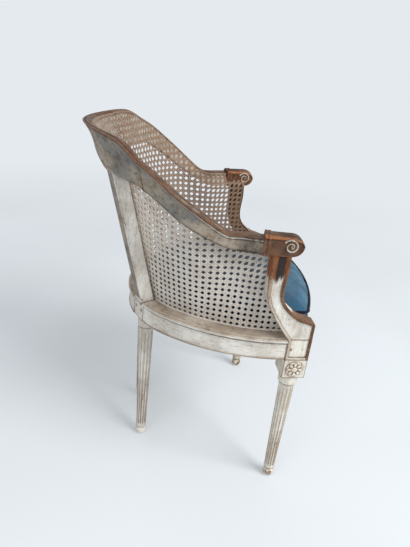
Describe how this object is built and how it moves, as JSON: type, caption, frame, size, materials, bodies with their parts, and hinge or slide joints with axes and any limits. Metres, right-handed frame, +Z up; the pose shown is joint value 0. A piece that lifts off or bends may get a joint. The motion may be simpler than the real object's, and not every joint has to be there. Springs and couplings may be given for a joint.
{
  "type": "caned desk armchair",
  "caption": "Horseshoe-shaped armchair with caned back and sides, scrolled arms, turned fluted legs on ball feet and a loose seat cushion.",
  "frame": {"origin": "on the floor, at the centre of the chair's width and depth", "axes": "+Z up, the sitter faces -Y, the sitter's left is +X"},
  "size_m": [0.5922, 0.5744, 0.847],
  "materials": {
    "painted_wood": "worn matt paint",
    "worn_wood": "paint worn to dark waxed wood",
    "cane": "woven split cane, aged",
    "cushion_cloth": "blue corded velvet, navy piping",
    "bare_oak": "bare wood"
  },
  "bodies": {
    "frame": {"front_leg_left": "painted_wood", "front_leg_right": "painted_wood", "rear_post_left": "painted_wood", "rear_post_right": "painted_wood", "seat_rail_front": "painted_wood", "seat_rail_back": "painted_wood", "seat_rail_left": "painted_wood", "seat_rail_right": "painted_wood", "arm_support_left": "painted_wood", "arm_support_right": "painted_wood", "arm_left": "worn_wood", "arm_right": "worn_wood", "crest_rail": "worn_wood", "cane_back": "cane", "cane_left": "cane", "cane_right": "cane", "seat_cane": "cane", "corner_blocks": "bare_oak", "joint_pegs": "bare_oak", "joint_dowels": "bare_oak"},
    "cushion": {"seat_cushion": "cushion_cloth"}
  },
  "joints": [
    {"name": "cushion_lift", "type": "slide", "parent": "frame", "child": "cushion", "axis": [0, 0, 1], "range_m": [0, 0.14]}
  ]
}
